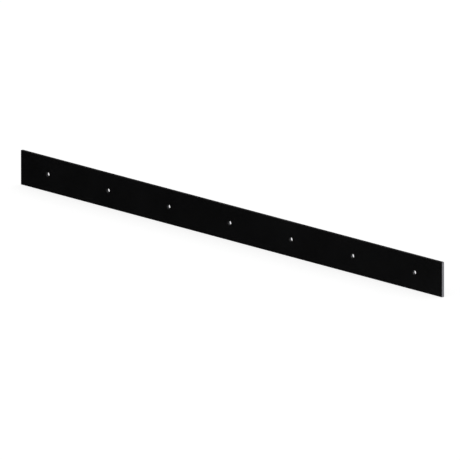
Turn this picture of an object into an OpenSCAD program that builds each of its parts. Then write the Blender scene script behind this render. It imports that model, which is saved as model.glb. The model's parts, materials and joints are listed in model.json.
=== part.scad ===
// Wear bar for an ATV snow plow blade.
//
// One length of flat steel bar, punched with a single row of bolt holes. It
// bolts through those holes to the lower edge of the plow's moldboard and
// takes the scraping wear. The hole row runs along the middle of the bar, so
// a worn bar can be turned over and the other long edge used.
//
// Frame: +X along the bar, +Y out of the rear face (the face that lies on
// the moldboard), +Z up, with the lower long edge scraping the ground. The
// origin is the centre of the middle bolt hole on the rear face.
// All sizes are in millimetres.

/* [Bar] */
// Overall length of the bar, end to end (50 in)
bar_length = 1270; // [914:1:1829]
// Height of the bar, from one long edge to the other (3 in)
bar_height = 76.2; // [63.5:0.1:127]
// Thickness of the flat bar (1/4 in)
bar_thickness = 6.35; // [4.75:0.05:12.7]
// Radius of the four long edges, as rolled at the mill
edge_radius = 0.8; // [0.2:0.1:1.8]
// Radius of the four corners, seen from the front
corner_radius = 1.0; // [0.2:0.1:6]
// Bevel where the sheared ends meet the front and rear faces
end_bevel = 0.5; // [0.1:0.1:1.5]

/* [Bolt holes] */
// Number of bolt holes, an odd number so that one is in the middle
hole_count = 7; // [3:2:11]
// Diameter of each bolt hole (3/8 in, for 5/16 in bolts)
hole_diameter = 9.525; // [8:0.005:14.3]
// Distance from each end of the bar to the centre of its nearest hole (3 1/4 in)
end_margin = 82.55; // [40:0.05:120]
// Width and depth of the bevel at the front mouth of each hole
hole_bevel = 0.4; // [0.1:0.05:1]

/* [Hidden] */

// Smoothness of round shapes
$fn = 64;
// Distance between neighbouring holes (7 1/4 in)
hole_spacing = (bar_length - 2 * end_margin) / (hole_count - 1);
// Centres of the holes along the bar
hole_x = [for (i = [0 : hole_count - 1]) end_margin + i * hole_spacing - bar_length / 2];
// How far a cutting shape runs past the face it cuts
past = 1;

// A rectangle of the given size about the origin, with round corners
module rounded_outline(size, r) {
    square([size[0] - 2 * r, size[1]], center = true);
    square([size[0], size[1] - 2 * r], center = true);
    for (x = [-1, 1], y = [-1, 1])
        translate([x * (size[0] / 2 - r), y * (size[1] / 2 - r)]) circle(r = r);
}

// A rectangle of the given size about the origin, with bevelled corners
module bevelled_outline(size, b) {
    x = size[0] / 2;
    y = size[1] / 2;
    polygon([
        [-x + b, -y], [x - b, -y], [x, -y + b], [x, y - b],
        [x - b, y], [-x + b, y], [-x, y - b], [-x, -y + b]
    ]);
}

// The flat bar before it is punched, about its own centre
module flat_bar() {
    intersection() {
        // Rolled section, seen along the bar
        rotate([90, 0, 90])
            linear_extrude(height = bar_length + 2 * past, center = true)
                rounded_outline([bar_thickness, bar_height], edge_radius);
        // Outline of the faces, seen from the front
        rotate([90, 0, 0])
            linear_extrude(height = bar_thickness + 2 * past, center = true)
                rounded_outline([bar_length, bar_height], corner_radius);
        // Bevelled ends, seen from above
        linear_extrude(height = bar_height + 2 * past, center = true)
            bevelled_outline([bar_length, bar_thickness], end_bevel);
    }
}

// One bolt hole through the thickness, with a bevel at its front mouth.
// Its axis is Y and its rear mouth is centred on the origin.
module bolt_hole() {
    rotate([90, 0, 0]) {
        translate([0, 0, -past])
            cylinder(h = bar_thickness + 2 * past, d = hole_diameter);
        translate([0, 0, bar_thickness - hole_bevel])
            cylinder(h = hole_bevel + past,
                     d1 = hole_diameter,
                     d2 = hole_diameter + 2 * (hole_bevel + past));
    }
}

// The whole bar, with its row of bolt holes
module wear_bar() {
    color([0.035, 0.035, 0.038])
        difference() {
            translate([0, -bar_thickness / 2, 0]) flat_bar();
            for (x = hole_x) translate([x, 0, 0]) bolt_hole();
        }
}

wear_bar();
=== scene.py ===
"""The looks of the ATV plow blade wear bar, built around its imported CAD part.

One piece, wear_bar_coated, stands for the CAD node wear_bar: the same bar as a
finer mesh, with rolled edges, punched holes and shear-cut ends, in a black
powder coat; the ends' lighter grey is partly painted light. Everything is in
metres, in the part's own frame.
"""

import json
import math

import bpy
import numpy as np
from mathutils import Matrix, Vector, noise


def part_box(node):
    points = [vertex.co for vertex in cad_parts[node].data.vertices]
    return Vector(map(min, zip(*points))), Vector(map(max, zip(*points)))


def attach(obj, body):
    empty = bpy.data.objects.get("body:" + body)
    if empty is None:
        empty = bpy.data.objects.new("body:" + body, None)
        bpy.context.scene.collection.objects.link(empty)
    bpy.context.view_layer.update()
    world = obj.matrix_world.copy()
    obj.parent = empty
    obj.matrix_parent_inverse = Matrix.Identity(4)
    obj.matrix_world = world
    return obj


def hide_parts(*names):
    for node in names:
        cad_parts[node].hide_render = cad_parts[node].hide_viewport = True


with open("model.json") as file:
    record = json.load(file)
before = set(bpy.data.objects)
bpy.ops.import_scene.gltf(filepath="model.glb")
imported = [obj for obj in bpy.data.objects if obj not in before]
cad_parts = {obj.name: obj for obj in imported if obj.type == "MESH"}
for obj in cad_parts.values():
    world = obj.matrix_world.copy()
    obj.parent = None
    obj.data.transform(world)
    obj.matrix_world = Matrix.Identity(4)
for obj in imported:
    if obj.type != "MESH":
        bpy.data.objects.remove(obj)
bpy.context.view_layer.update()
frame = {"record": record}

# ---------------------------------------------------------------- sizes, from the CAD part
LO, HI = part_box("wear_bar")
LENGTH, THICK, HEIGHT = (HI - LO)
MID = (LO + HI) / 2
holes = [m for m in frame["record"]["mounts"] if m["kind"] == "bore"]
HOLE_X = sorted(m["pos_m"][0] for m in holes)
HOLE_Z = holes[0]["pos_m"][2]
HOLE_R = holes[0]["dims"]["r_mm"] / 1000
PITCH = HOLE_X[1] - HOLE_X[0]
MM = 0.001

EDGE_R = 0.72 * MM      # rounding of the bar's outer edges under the coat
FRONT_LIP = 0.40 * MM   # rounding at a hole's front mouth, where the punch went in
REAR_LIP = 0.22 * MM    # rounding at its rear mouth
DRAW = 0.11 * MM        # how deep the face is drawn in beside the punch
CELL = 11.0 * MM        # half side of the square of mesh around a hole
RING = 64               # points round a hole


# ---------------------------------------------------------------- the bar's mesh
def smooth(a, b, x):
    t = np.clip((np.asarray(x, float) - a) / (b - a), 0.0, 1.0)
    return t * t * (3 - 2 * t)


def edge_steps(half, r, n):
    """Grid lines over the last stretch r before an edge at half, at equal angles round its fillet."""
    return [half - r + r * math.tan(math.radians(45.0 * i / n)) for i in range(n + 1)]


def lines(half, inner, r=EDGE_R, n=6):
    """Symmetric grid lines from -half to half: fillet steps at both ends and the given inner lines."""
    end = edge_steps(half, r, n)
    core = [v for v in inner if abs(v) < half - r - 1e-9]
    return np.array([-v for v in reversed(end)] + sorted(core) + end)


half = np.array([LENGTH / 2, THICK / 2, HEIGHT / 2])

# along the bar: fine beside each hole, coarse between
x_inner = []
for x in HOLE_X:
    x_inner += [x - MID.x + CELL * k / 8 for k in range(-8, 9)]
for a, b in zip(HOLE_X[:-1], HOLE_X[1:]):
    n = 16
    x_inner += [a - MID.x + CELL + (b - a - 2 * CELL) * k / n for k in range(1, n)]
room = half[0] - EDGE_R - (HOLE_X[-1] - MID.x + CELL)
for k in range(1, 6):
    v = HOLE_X[-1] - MID.x + CELL + room * k / 6
    x_inner += [v, -v]
X = lines(half[0], x_inner)

# up the bar: the squares round the holes share these lines
z_inner = [HOLE_Z - MID.z + CELL * k / 8 for k in range(-8, 9)]
room = half[2] - EDGE_R - CELL
for k in range(1, 6):
    z_inner += [CELL + room * k / 6, -CELL - room * k / 6]
Z = lines(half[2], z_inner)

# through the thickness
Y = lines(half[1], [(-half[1] + EDGE_R) + (2 * half[1] - 2 * EDGE_R) * k / 12 for k in range(1, 12)])

points, faces, kinds = [], [], []   # kinds: 0 outside, 1 hole wall or lip
lookup = {}

# the flat layout of the bar's surface, for baking: each face of the mesh lies on one island
mids = [(a + b) / 2 - MID.x for a, b in zip(HOLE_X[:-1], HOLE_X[1:])]
STRIPS = [-half[0]] + mids + [half[0]]                          # a face is cut midway between its holes
RUNS = [-half[0], mids[len(mids) // 2 - 1], mids[-1], half[0]]  # a long edge is cut in three
islands = {}    # name: the island's width and height in metres, and how much larger than life it is laid out
laid = []       # for each face, its island and its corners' places on it


def island(name, width, height, zoom=1.0):
    islands[name] = (width * zoom, height * zoom, zoom)
    return name


def point(p, shared=True):
    """The index of a point, in metres about the bar's centre. Shared points are found again by place."""
    if not shared:
        points.append(tuple(p))
        return len(points) - 1
    key = tuple(int(round(v * 1e8)) for v in p)
    if key not in lookup:
        lookup[key] = len(points)
        points.append(tuple(p))
    return lookup[key]


def quad(corners, kind, on, spots):
    faces.append(tuple(corners))
    kinds.append(kind)
    laid.append((on, spots))


def in_cell(x0, x1, z0, z1):
    """True for a grid square of a face that the ring mesh round a hole takes over."""
    x, z = (x0 + x1) / 2, (z0 + z1) / 2
    return abs(z - (HOLE_Z - MID.z)) < CELL and any(abs(x - (h - MID.x)) < CELL for h in HOLE_X)


def spot(name, cuts, k, flip, zoom, u, v, v0):
    """Where (u, v) of a sheet lies on the sheet's k-th island. A sheet seen from behind is turned over."""
    along = cuts[k + 1] - u if flip else u - cuts[k]
    return (along * zoom, (v - v0) * zoom)


def sheet(name, us, vs, place, flip, cuts, zoom=1.0, skip=None):
    """A grid of quads over two lists of lines. place(u, v) gives a point on the box."""
    for i in range(len(us) - 1):
        k = sum(1 for c in cuts[1:-1] if us[i] > c - 1e-7)
        on = island(f"{name}{k}", cuts[k + 1] - cuts[k], vs[-1] - vs[0], zoom)
        for j in range(len(vs) - 1):
            if skip and skip(us[i], us[i + 1], vs[j], vs[j + 1]):
                continue
            uv = [(us[i], vs[j]), (us[i + 1], vs[j]), (us[i + 1], vs[j + 1]), (us[i], vs[j + 1])]
            if flip:
                uv.reverse()
            quad([point(place(u, v)) for u, v in uv], 0, on, [spot(name, cuts, k, flip, zoom, u, v, vs[0]) for u, v in uv])


sheet("front", X, Z, lambda u, v: (u, -half[1], v), False, STRIPS, skip=in_cell)
sheet("rear", X, Z, lambda u, v: (u, half[1], v), True, STRIPS, skip=in_cell)
sheet("top", X, Y, lambda u, v: (u, v, half[2]), False, RUNS)
sheet("bottom", X, Y, lambda u, v: (u, v, -half[2]), True, RUNS)

sheet("right_end", Z, Y, lambda u, v: (half[0], v, u), True, [-half[2], half[2]], 2.4)
sheet("left_end", Z, Y, lambda u, v: (-half[0], v, u), False, [-half[2], half[2]], 2.4)

# rings round each hole: square, blending to a circle, over the front lip, down the wall, over the rear lip
blend_steps = [1.0, 0.72, 0.48, 0.30, 0.18, 0.10, 0.045, 0.0]


def square_ring(y):
    """The RING points of the square round a hole, from its lower right corner, anticlockwise seen from the front."""
    n = RING // 4
    s = [CELL * k / (n // 2) for k in range(-(n // 2), n // 2)]
    ring = [(CELL, v) for v in s] + [(-v, CELL) for v in s] + [(-CELL, -v) for v in s] + [(v, -CELL) for v in s]
    return [(x, y, z) for x, z in ring]


angles = [math.radians(-45 + 360 * k / RING) for k in range(RING)]


def circle_ring(r, y):
    return [(r * math.cos(t), y, r * math.sin(t)) for t in angles]


for number, h in enumerate(HOLE_X):
    cx, cz = h - MID.x, HOLE_Z - MID.z
    rings = []
    for side, lip in ((-1, FRONT_LIP), (1, REAR_LIP)):
        y = side * half[1]
        outer, inner = square_ring(y), circle_ring(HOLE_R + lip, y)
        stack = [[tuple(np.array(o) * t + np.array(i) * (1 - t)) for o, i in zip(outer, inner)] for t in blend_steps]
        for k in range(1, 7):   # round the lip, from the face to the wall
            a = math.radians(90 * k / 6)
            stack.append(circle_ring(HOLE_R + lip * (1 - math.sin(a)), y - side * lip * (1 - math.cos(a))))
        rings.append(stack)
    y0, y1 = -half[1] + FRONT_LIP, half[1] - REAR_LIP
    wall = [circle_ring(HOLE_R, y0 + (y1 - y0) * k / 14) for k in range(1, 14)]
    stack = rings[0] + wall + rings[1][::-1]
    index = []
    for n, ring in enumerate(stack):
        shared = n in (0, len(stack) - 1)
        index.append([point((p[0] + cx, p[1], p[2] + cz), shared) for p in ring])
    down = [0.0]     # how far each ring is from the first, along the surface
    for r1, r2 in zip(stack[:-1], stack[1:]):
        down.append(down[-1] + math.dist(r1[0], r2[0]))
    lip_front, lip_rear = len(blend_steps) - 1, len(index) - len(blend_steps)
    wall_on = island(f"wall{number}", 2 * math.pi * HOLE_R, down[lip_rear] - down[lip_front], 3.0)
    for n in range(len(index) - 1):
        inside = lip_front <= n < lip_rear
        for k in range(RING):
            m = (k + 1) % RING
            corners = [index[n][k], index[n][m], index[n + 1][m], index[n + 1][k]]
            if inside:
                turn = 2 * math.pi * HOLE_R / RING
                spots = [(i * turn * 3.0, (down[j] - down[lip_front]) * 3.0) for i, j in ((k, n), (k + 1, n), (k + 1, n + 1), (k, n + 1))]
                quad(corners, 1, wall_on, spots)
            else:
                name, flip = ("front", False) if n < lip_front else ("rear", True)
                four = (stack[n][k], stack[n][m], stack[n + 1][m], stack[n + 1][k])
                spots = [spot(name, STRIPS, number, flip, 1.0, p[0] + cx, p[2] + cz, -half[2]) for p in four]
                quad(corners, 0, f"{name}{number}", spots)

P = np.array(points, float)
kinds = np.array(kinds)
is_hole = np.zeros(len(P), bool)
for f, k in zip(faces, kinds):
    if k:
        is_hole[list(f)] = True

# round the outer edges: each point moves onto the fillet round the inner box
inner = np.clip(P, -(half - EDGE_R), half - EDGE_R)
away = P - inner
dist = np.linalg.norm(away, axis=1)
outside = (dist > 1e-9) & ~is_hole
N = np.zeros_like(P)
N[outside] = away[outside] / dist[outside, None]
P[outside] = inner[outside] + N[outside] * EDGE_R

# holes: the face is drawn in a little beside the punch, and the wall's rear part is torn, not cut
cx = np.array(HOLE_X) - MID.x
near = np.argmin(np.abs(P[:, 0][:, None] - cx[None, :]), axis=1)
dx, dz = P[:, 0] - cx[near], P[:, 2] - (HOLE_Z - MID.z)
rad = np.hypot(dx, dz)
front = P[:, 1] < -half[1] + FRONT_LIP + 1e-7
drawn = np.where(front & (rad < CELL * 1.05), DRAW * np.exp(-np.clip(rad - HOLE_R - FRONT_LIP, 0, None) / (0.85 * MM)), 0.0)
drawn *= 1 - smooth(0.75 * CELL, 0.98 * CELL, rad)
P[:, 1] += drawn
depth = (P[:, 1] + half[1]) / (2 * half[1])       # 0 at the front face, 1 at the rear
torn = smooth(0.36, 0.46, depth) * (1 - smooth(0.93, 0.98, depth))
for i in np.nonzero(is_hole & (torn > 0))[0]:
    t = math.atan2(dz[i], dx[i])
    where = Vector((math.cos(t) * 6.0 + near[i] * 9.1, math.sin(t) * 6.0, P[i, 1] / MM * 0.55))
    push = torn[i] * (0.020 + 0.030 * (0.5 + 0.5 * noise.noise(where)))
    P[i, 0] += math.cos(t) * push * MM
    P[i, 2] += math.sin(t) * push * MM

# sheared ends: cut clean for the first third of the thickness, then broken away a little deeper
end = ~is_hole & (np.abs(P[:, 0]) > half[0] - EDGE_R * 0.3)
for i in np.nonzero(end)[0]:
    side = math.copysign(1.0, P[i, 0])
    y, z = P[i, 1], P[i, 2]
    t = (y + half[1]) / (2 * half[1])
    rim = float(smooth(0.0, 1.1 * MM, half[1] - abs(y)) * smooth(0.0, 1.4 * MM, half[2] - abs(z)))
    wander = 0.05 * noise.noise(Vector((z / MM * 0.11, side * 3.7, 0.4)))
    broken = float(smooth(0.34 + wander, 0.42 + wander, t))
    rough = noise.noise(Vector((z / MM * 0.9, y / MM * 0.6, side * 5.1)))
    P[i, 0] -= side * rim * broken * (0.085 + 0.035 * rough) * MM

V = P + np.array(MID)
mesh = bpy.data.meshes.new("wear_bar_coated")
mesh.from_pydata([tuple(v) for v in V], [], faces)
mesh.update()

# lay the islands out in rows on a square
GAP = 4.0 * MM
side = 3 * max(b - a for a, b in zip(STRIPS[:-1], STRIPS[1:])) + 4 * GAP + 1e-6
origin, px, py, row = {}, GAP, GAP, 0.0
for name, (w, h, _) in sorted(islands.items(), key=lambda item: (-round(item[1][1], 6), -round(item[1][0], 6), item[0])):
    if px + w + GAP > side:
        px, py, row = GAP, py + row + GAP, 0.0
    origin[name] = (px, py)
    px, row = px + w + GAP, max(row, h)
if py + row + GAP > side:
    raise RuntimeError("the islands do not fit on the square")
layer = mesh.uv_layers.new(name="OFBake")
flat = [((origin[on][0] + u) / side, (origin[on][1] + v) / side) for on, spots in laid for u, v in spots]
layer.data.foreach_set("uv", [value for pair in flat for value in pair])
bar = bpy.data.objects.new("wear_bar_coated", mesh)
bpy.context.scene.collection.objects.link(bar)

import bmesh
bm = bmesh.new()
bm.from_mesh(mesh)
bmesh.ops.recalc_face_normals(bm, faces=bm.faces)
open_edges = sum(1 for e in bm.edges if not e.is_manifold)
bm.to_mesh(mesh)
bm.free()
if open_edges:
    raise RuntimeError(f"the bar's mesh has {open_edges} open edges")
mesh.shade_smooth()
weighted = bar.modifiers.new("flat faces stay flat", "WEIGHTED_NORMAL")
weighted.mode = "FACE_AREA"
weighted.weight = 50
weighted.keep_sharp = False


# ---------------------------------------------------------------- the coat
class Nodes:
    """Short calls for building one material's node tree."""

    def __init__(self, material):
        material.use_nodes = True
        self.tree = material.node_tree
        self.tree.nodes.clear()

    def new(self, kind, **settings):
        node = self.tree.nodes.new(kind)
        for k, v in settings.items():
            setattr(node, k, v)
        return node

    def link(self, source, target):
        if isinstance(source, (int, float)):
            target.default_value = source
        else:
            self.tree.links.new(source, target)

    def math(self, operation, a, b=0.0, c=0.0, clamp=False):
        node = self.new("ShaderNodeMath", operation=operation, use_clamp=clamp)
        for socket, value in zip(node.inputs, (a, b, c)):
            self.link(value, socket)
        return node.outputs[0]

    def ramp(self, value, low, high, out_low=0.0, out_high=1.0):
        """value from low..high, eased to out_low..out_high."""
        node = self.new("ShaderNodeMapRange", interpolation_type="SMOOTHSTEP")
        self.link(value, node.inputs["Value"])
        for name, v in (("From Min", low), ("From Max", high), ("To Min", out_low), ("To Max", out_high)):
            node.inputs[name].default_value = v
        return node.outputs["Result"]

    def noise(self, vector, scale, detail=2.0, rough=0.5, stretch=None, distortion=0.0):
        if stretch is not None:
            mapping = self.new("ShaderNodeMapping")
            mapping.inputs["Scale"].default_value = stretch
            self.link(vector, mapping.inputs["Vector"])
            vector = mapping.outputs["Vector"]
        node = self.new("ShaderNodeTexNoise", noise_dimensions="3D")
        node.inputs["Scale"].default_value = scale
        node.inputs["Detail"].default_value = detail
        node.inputs["Roughness"].default_value = rough
        node.inputs["Distortion"].default_value = distortion
        self.link(vector, node.inputs["Vector"])
        return node.outputs["Fac"]

    def mix(self, factor, a, b):
        node = self.new("ShaderNodeMix", data_type="RGBA", blend_type="MIX")
        self.link(factor, node.inputs[0])
        for socket, value in ((node.inputs[6], a), (node.inputs[7], b)):
            if isinstance(value, tuple):
                socket.default_value = (*value, 1.0)
            else:
                self.link(value, socket)
        return node.outputs[2]


def powder_coat():
    """Black powder coat over rolled steel: orange peel, faint rolling lines, thin places on edges, and greyer where the
    steel was cut by shear or punch; the ends' grey is lightened further as painted light, standing for the light they
    catch.
    """
    m = bpy.data.materials.new("black_powder_coat")
    n = Nodes(m)
    place = n.new("ShaderNodeTexCoord").outputs["Object"]
    split = n.new("ShaderNodeSeparateXYZ")
    n.link(place, split.inputs[0])
    x, y, z = split.outputs

    # distances in millimetres: in from each pair of faces, and out from the nearest hole's wall
    def inside(v, centre, half_size):
        off = n.math("ABSOLUTE", n.math("SUBTRACT", v, centre))
        return n.math("MULTIPLY", n.math("SUBTRACT", half_size, off), 1000.0)

    ex = inside(x, MID.x, half[0])
    ey = inside(y, MID.y, half[1])
    ez = inside(z, MID.z, half[2])
    step = n.math("MULTIPLY", n.math("ROUND", n.math("DIVIDE", x, PITCH)), PITCH)
    hx = n.math("SUBTRACT", x, step)
    hz = n.math("SUBTRACT", z, HOLE_Z)
    radius = n.math("SQRT", n.math("ADD", n.math("MULTIPLY", hx, hx), n.math("MULTIPLY", hz, hz)))
    eh = n.math("MULTIPLY", n.math("SUBTRACT", radius, HOLE_R), 1000.0)

    # 1 on the sheared ends and on the walls of the holes
    on_end = n.ramp(ex, 0.10, 0.42, 1.0, 0.0)
    on_wall = n.ramp(eh, 0.06, 0.30, 1.0, 0.0)
    cut = n.math("MAXIMUM", on_end, on_wall)

    # how near a point is to an outer edge or a hole's lip, broken up along its length
    pair = n.math("MINIMUM", n.math("MAXIMUM", ey, ez), n.math("MAXIMUM", ey, ex))
    pair = n.math("MINIMUM", pair, n.math("MAXIMUM", ez, ex))
    pair = n.math("MINIMUM", pair, n.math("MAXIMUM", ey, n.math("ABSOLUTE", eh)))
    patches = n.noise(place, 55.0, 3.0, 0.6)
    ragged = n.noise(place, 900.0, 2.0, 0.6)
    reach = n.math("ADD", n.math("MULTIPLY", patches, 0.55), n.math("MULTIPLY", ragged, 0.35))
    thin = n.ramp(n.math("SUBTRACT", pair, reach), -0.30, 0.10, 1.0, 0.0)

    # textures of the coat itself
    cloud = n.noise(place, 9.0, 3.0, 0.55)
    mottle = n.noise(place, 120.0, 3.0, 0.6)
    rolled = n.noise(place, 260.0, 2.0, 0.5, stretch=(0.02, 0.6, 1.0))
    peel = n.noise(place, 330.0, 1.0, 0.4)
    fine = n.noise(place, 1100.0, 1.0, 0.5)
    shear = n.noise(place, 1500.0, 3.0, 0.6, stretch=(1.0, 0.09, 1.0))
    grain = n.noise(place, 2400.0, 2.0, 0.6)

    # a blade or punch cuts clean through the front third of the thickness and the rest breaks away
    depth = n.math("DIVIDE", n.math("SUBTRACT", y, float(LO.y)), float(THICK))
    wander = n.noise(place, 110.0, 2.0, 0.5)
    broken = n.ramp(n.math("ADD", depth, n.math("MULTIPLY", wander, 0.20)), 0.45, 0.52)

    # colour
    shade = n.math("ADD", n.math("MULTIPLY", cloud, 0.65), n.math("MULTIPLY", mottle, 0.35))
    face = n.mix(n.ramp(shade, 0.32, 0.68), (0.0013, 0.0013, 0.0015), (0.0023, 0.0023, 0.0026))
    face = n.mix(n.math("MULTIPLY", thin, 0.65), face, (0.0150, 0.0150, 0.0160))
    lined, grained = n.ramp(shear, 0.30, 0.70), n.ramp(grain, 0.30, 0.70)
    punched = n.mix(broken, n.mix(lined, (0.0150, 0.0150, 0.0165), (0.0270, 0.0270, 0.0295)), n.mix(grained, (0.0100, 0.0100, 0.0110), (0.0210, 0.0210, 0.0230)))
    # the cut ends: grey of shear-cut steel under a thin coat, lightened further with painted light that stands for the
    # light the ends catch
    cut_end_grey_and_painted_light = n.mix(broken, n.mix(lined, (0.0820, 0.0815, 0.0890), (0.1180, 0.1170, 0.1270)), n.mix(grained, (0.0480, 0.0475, 0.0525), (0.0880, 0.0870, 0.0950)))
    colour = n.mix(on_wall, face, punched)
    colour = n.mix(on_end, colour, cut_end_grey_and_painted_light)

    # roughness
    gloss = n.math("ADD", n.math("MULTIPLY", cloud, 0.10), n.math("MULTIPLY", mottle, 0.10))
    gloss = n.math("ADD", gloss, n.math("MULTIPLY", fine, 0.06))
    rough = n.math("ADD", gloss, 0.27)
    rough = n.math("ADD", rough, n.math("MULTIPLY", thin, 0.10))
    torn = n.math("MULTIPLY", cut, broken)
    rough = n.math("ADD", rough, n.math("MULTIPLY", cut, 0.12))
    rough = n.math("ADD", rough, n.math("MULTIPLY", torn, 0.12), clamp=True)

    # height, in tenths of a millimetre
    coat = n.math("ADD", n.math("MULTIPLY", peel, 1.40), n.math("MULTIPLY", fine, 0.16))
    coat = n.math("ADD", coat, n.math("MULTIPLY", rolled, 0.30))
    coat = n.math("ADD", coat, n.math("MULTIPLY", n.math("MULTIPLY", cut, shear), 0.30))
    coat = n.math("ADD", coat, n.math("MULTIPLY", n.math("MULTIPLY", torn, grain), 0.35))
    bump = n.new("ShaderNodeBump")
    bump.inputs["Strength"].default_value = 1.0
    bump.inputs["Distance"].default_value = 0.0001
    n.link(coat, bump.inputs["Height"])

    shader = n.new("ShaderNodeBsdfPrincipled")
    shader.inputs["IOR"].default_value = 1.5
    shader.inputs["Specular IOR Level"].default_value = 0.5
    n.link(colour, shader.inputs["Base Color"])
    n.link(rough, shader.inputs["Roughness"])
    n.link(bump.outputs["Normal"], shader.inputs["Normal"])
    out = n.new("ShaderNodeOutputMaterial")
    n.link(shader.outputs["BSDF"], out.inputs["Surface"])
    return m


mesh.materials.append(powder_coat())
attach(bar, "root")
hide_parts("wear_bar")

# ---------------------------------------------------------------- stage: a plain pale floor
FLOOR_Z = LO.z
size = 60.0
plane = bpy.data.meshes.new("floor")
plane.from_pydata([(-size, -size, FLOOR_Z), (size, -size, FLOOR_Z), (size, size, FLOOR_Z), (-size, size, FLOOR_Z)], [], [(0, 1, 2, 3)])
plane.update()
floor = bpy.data.objects.new("floor", plane)
bpy.context.scene.collection.objects.link(floor)
pale = bpy.data.materials.new("pale_floor")
n = Nodes(pale)
matt = n.new("ShaderNodeBsdfDiffuse")
matt.inputs["Color"].default_value = (0.52, 0.52, 0.52, 1.0)
lit = n.new("ShaderNodeEmission")
lit.inputs["Color"].default_value = (1.0, 1.0, 1.0, 1.0)
lit.inputs["Strength"].default_value = 0.75
both = n.new("ShaderNodeAddShader")
n.link(matt.outputs[0], both.inputs[0])
n.link(lit.outputs[0], both.inputs[1])
n.link(both.outputs[0], n.new("ShaderNodeOutputMaterial").inputs["Surface"])
plane.materials.append(pale)
floor.visible_glossy = False    # black flags round a gloss black part: its coat doesn't mirror the white floor

# ---------------------------------------------------------------- soft studio light
world = bpy.data.worlds.new("studio")
bpy.context.scene.world = world
n = Nodes(world)
path = n.new("ShaderNodeLightPath")
around = n.new("ShaderNodeTexCoord").outputs["Generated"]
sep = n.new("ShaderNodeSeparateXYZ")
n.link(around, sep.inputs[0])
up = sep.outputs[2]
overhead = n.ramp(up, 0.45, 0.95, 0.0, 1.0)
low = n.ramp(up, -0.55, 0.10, 0.006, 0.036)
seen = n.math("ADD", low, n.math("MULTIPLY", overhead, 0.9))
gloss_light = n.new("ShaderNodeBackground")
gloss_light.inputs["Color"].default_value = (1.0, 1.0, 1.0, 1.0)
n.link(seen, gloss_light.inputs["Strength"])
sky = n.new("ShaderNodeBackground")
sky.inputs["Color"].default_value = (1.0, 1.0, 1.0, 1.0)
sky.inputs["Strength"].default_value = 0.56
back = n.new("ShaderNodeBackground")
back.inputs["Color"].default_value = (1.0, 1.0, 1.0, 1.0)
back.inputs["Strength"].default_value = 1.0
first = n.new("ShaderNodeMixShader")
n.link(path.outputs["Is Glossy Ray"], first.inputs[0])
n.link(sky.outputs[0], first.inputs[1])
n.link(gloss_light.outputs[0], first.inputs[2])
second = n.new("ShaderNodeMixShader")
n.link(path.outputs["Is Camera Ray"], second.inputs[0])
n.link(first.outputs[0], second.inputs[1])
n.link(back.outputs[0], second.inputs[2])
n.link(second.outputs[0], n.new("ShaderNodeOutputWorld").inputs["Surface"])
world.cycles.sampling_method = "NONE"

# soft boxes that light only the bar, so the floor keeps its even white
lit_only = bpy.data.collections.new("lit_by_softboxes")
lit_only.objects.link(bar)


def softbox(name, wide, high, watts, aim, direction, distance):
    data = bpy.data.lights.new(name, "AREA")
    data.shape = "RECTANGLE"
    data.size, data.size_y = wide, high
    data.energy = watts
    lamp = bpy.data.objects.new(name, data)
    bpy.context.scene.collection.objects.link(lamp)
    lamp.location = aim + Vector(direction).normalized() * distance
    lamp.rotation_mode = "QUATERNION"
    lamp.rotation_quaternion = (lamp.location - aim).to_track_quat("Z", "Y")
    lamp.light_linking.receiver_collection = lit_only


# off the right end and behind: it lights that end, the left walls of the holes and, at a slant, the rear face
softbox("rear_right_softbox", 1.0, 0.9, 110.0, Vector((HI.x, MID.y, MID.z)), (0.80, 0.38, 0.44), 2.6)
# low in front of the bar: a faint sheen on the front face when it is seen square on
softbox("front_softbox", 1.2, 0.4, 1.8, Vector((MID.x + 0.25, LO.y, MID.z)), (0.12, -0.97, 0.20), 1.6)

scene = bpy.context.scene
scene.view_settings.view_transform = "Standard"
scene.view_settings.look = "None"
scene.view_settings.exposure = 0.0
scene.view_settings.gamma = 1.0

# ---------------------------------------------------------------- camera: a very long lens, so the view is close to parallel
AZ, EL = math.radians(45.47), math.radians(15.283)
back_v = Vector((math.sin(AZ) * math.cos(EL), -math.cos(AZ) * math.cos(EL), math.sin(EL)))
right_v = Vector((math.cos(AZ), math.sin(AZ), 0.0))
up_v = back_v.cross(right_v)
DISTANCE = 45.922
cam_data = bpy.data.cameras.new("camera")
cam_data.lens = 1700.0
cam_data.sensor_width = 36.0
cam_data.dof.use_dof = False
cam_data.clip_start, cam_data.clip_end = 0.1, 400.0
cam = bpy.data.objects.new("camera", cam_data)
scene.collection.objects.link(cam)
front_centre = Vector((MID.x, LO.y, MID.z))
target = front_centre + right_v * 0.00128 - up_v * 0.01465     # the bar sits a little above the frame's middle
cam.location = target + back_v * DISTANCE
cam.rotation_mode = "QUATERNION"
cam.rotation_quaternion = back_v.to_track_quat("Z", "Y")
scene.camera = cam
